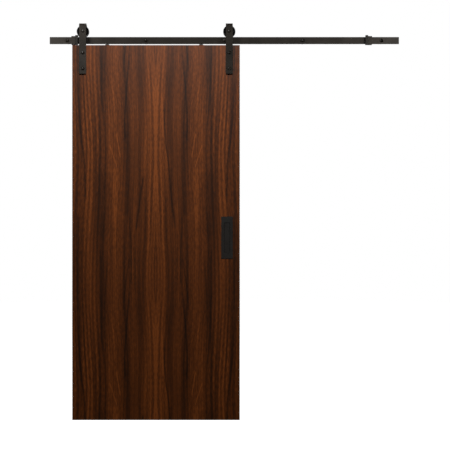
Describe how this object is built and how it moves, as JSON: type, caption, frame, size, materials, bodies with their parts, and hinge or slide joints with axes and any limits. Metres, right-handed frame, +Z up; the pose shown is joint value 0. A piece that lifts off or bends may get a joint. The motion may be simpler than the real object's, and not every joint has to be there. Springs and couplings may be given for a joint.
{
  "type": "sliding barn door",
  "caption": "Sliding barn door: a flat walnut slab hung by strap hangers with grooved wheels on a black flat-bar wall track with end stops, and a flush pull.",
  "frame": {"origin": "on the wall's face, on the axis of the rail's middle bolt", "axes": "+Z up, +Y into the wall, +X to the right seen from the front"},
  "size_m": [2, 0.1225, 2.2695],
  "materials": {
    "powder_coated_steel": "fine satin powder coat",
    "walnut": "bookmatched veneer, satin lacquer",
    "wheel_nylon": "turned nylon",
    "bumper_rubber": "moulded",
    "disc_nylon": "moulded",
    "pull_steel": "satin powder coat",
    "zinc_plated_steel": "bright zinc",
    "bearing_steel": "ground"
  },
  "bodies": {
    "track": {"rail": "powder_coated_steel", "rail_spacer_1": "powder_coated_steel", "rail_spacer_2": "powder_coated_steel", "rail_spacer_3": "powder_coated_steel", "rail_spacer_4": "powder_coated_steel", "rail_spacer_5": "powder_coated_steel", "rail_lag_bolts": "powder_coated_steel", "stop_body_left": "powder_coated_steel", "stop_body_right": "powder_coated_steel", "stop_bumper_left": "bumper_rubber", "stop_bumper_right": "bumper_rubber", "stop_set_screws": "powder_coated_steel"},
    "door": {"hanger_strap_left": "powder_coated_steel", "hanger_strap_right": "powder_coated_steel", "strap_bolts": "powder_coated_steel", "strap_sleeve_nuts": "powder_coated_steel", "axle_bolt_left": "powder_coated_steel", "axle_bolt_right": "powder_coated_steel", "flush_pull_screws": "powder_coated_steel", "door_slab": "walnut", "axle_washers": "zinc_plated_steel", "axle_nuts": "zinc_plated_steel", "anti_jump_screws": "zinc_plated_steel", "bushing_front_left": "zinc_plated_steel", "bushing_front_right": "zinc_plated_steel", "bushing_back_left": "zinc_plated_steel", "bushing_back_right": "zinc_plated_steel", "bearing_inner_left": "bearing_steel", "bearing_inner_right": "bearing_steel", "anti_jump_disc_left": "disc_nylon", "anti_jump_disc_right": "disc_nylon", "flush_pull": "pull_steel"},
    "wheel_left": {"wheel_left": "wheel_nylon", "bearing_outer_left": "bearing_steel", "bearing_balls_left": "bearing_steel", "bearing_shields_left": "bearing_steel"},
    "wheel_right": {"wheel_right": "wheel_nylon", "bearing_outer_right": "bearing_steel", "bearing_balls_right": "bearing_steel", "bearing_shields_right": "bearing_steel"}
  },
  "joints": [
    {"name": "door_slide", "type": "slide", "parent": "track", "child": "door", "axis": [1, 0, 0], "range_m": [0, 0.751]},
    {"name": "wheel_left_roll", "type": "hinge", "parent": "door", "child": "wheel_left", "pos_m": [-0.8097, -0.039, 0.051], "axis": [0, 1, 0], "range_deg": [0, 1402]},
    {"name": "wheel_right_roll", "type": "hinge", "parent": "door", "child": "wheel_right", "pos_m": [0.0283, -0.039, 0.051], "axis": [0, 1, 0], "range_deg": [0, 1402]}
  ],
  "couplings": [
    {"joint": "wheel_left_roll", "follows": "door_slide", "rad_per_m": 32.573},
    {"joint": "wheel_right_roll", "follows": "door_slide", "rad_per_m": 32.573}
  ]
}
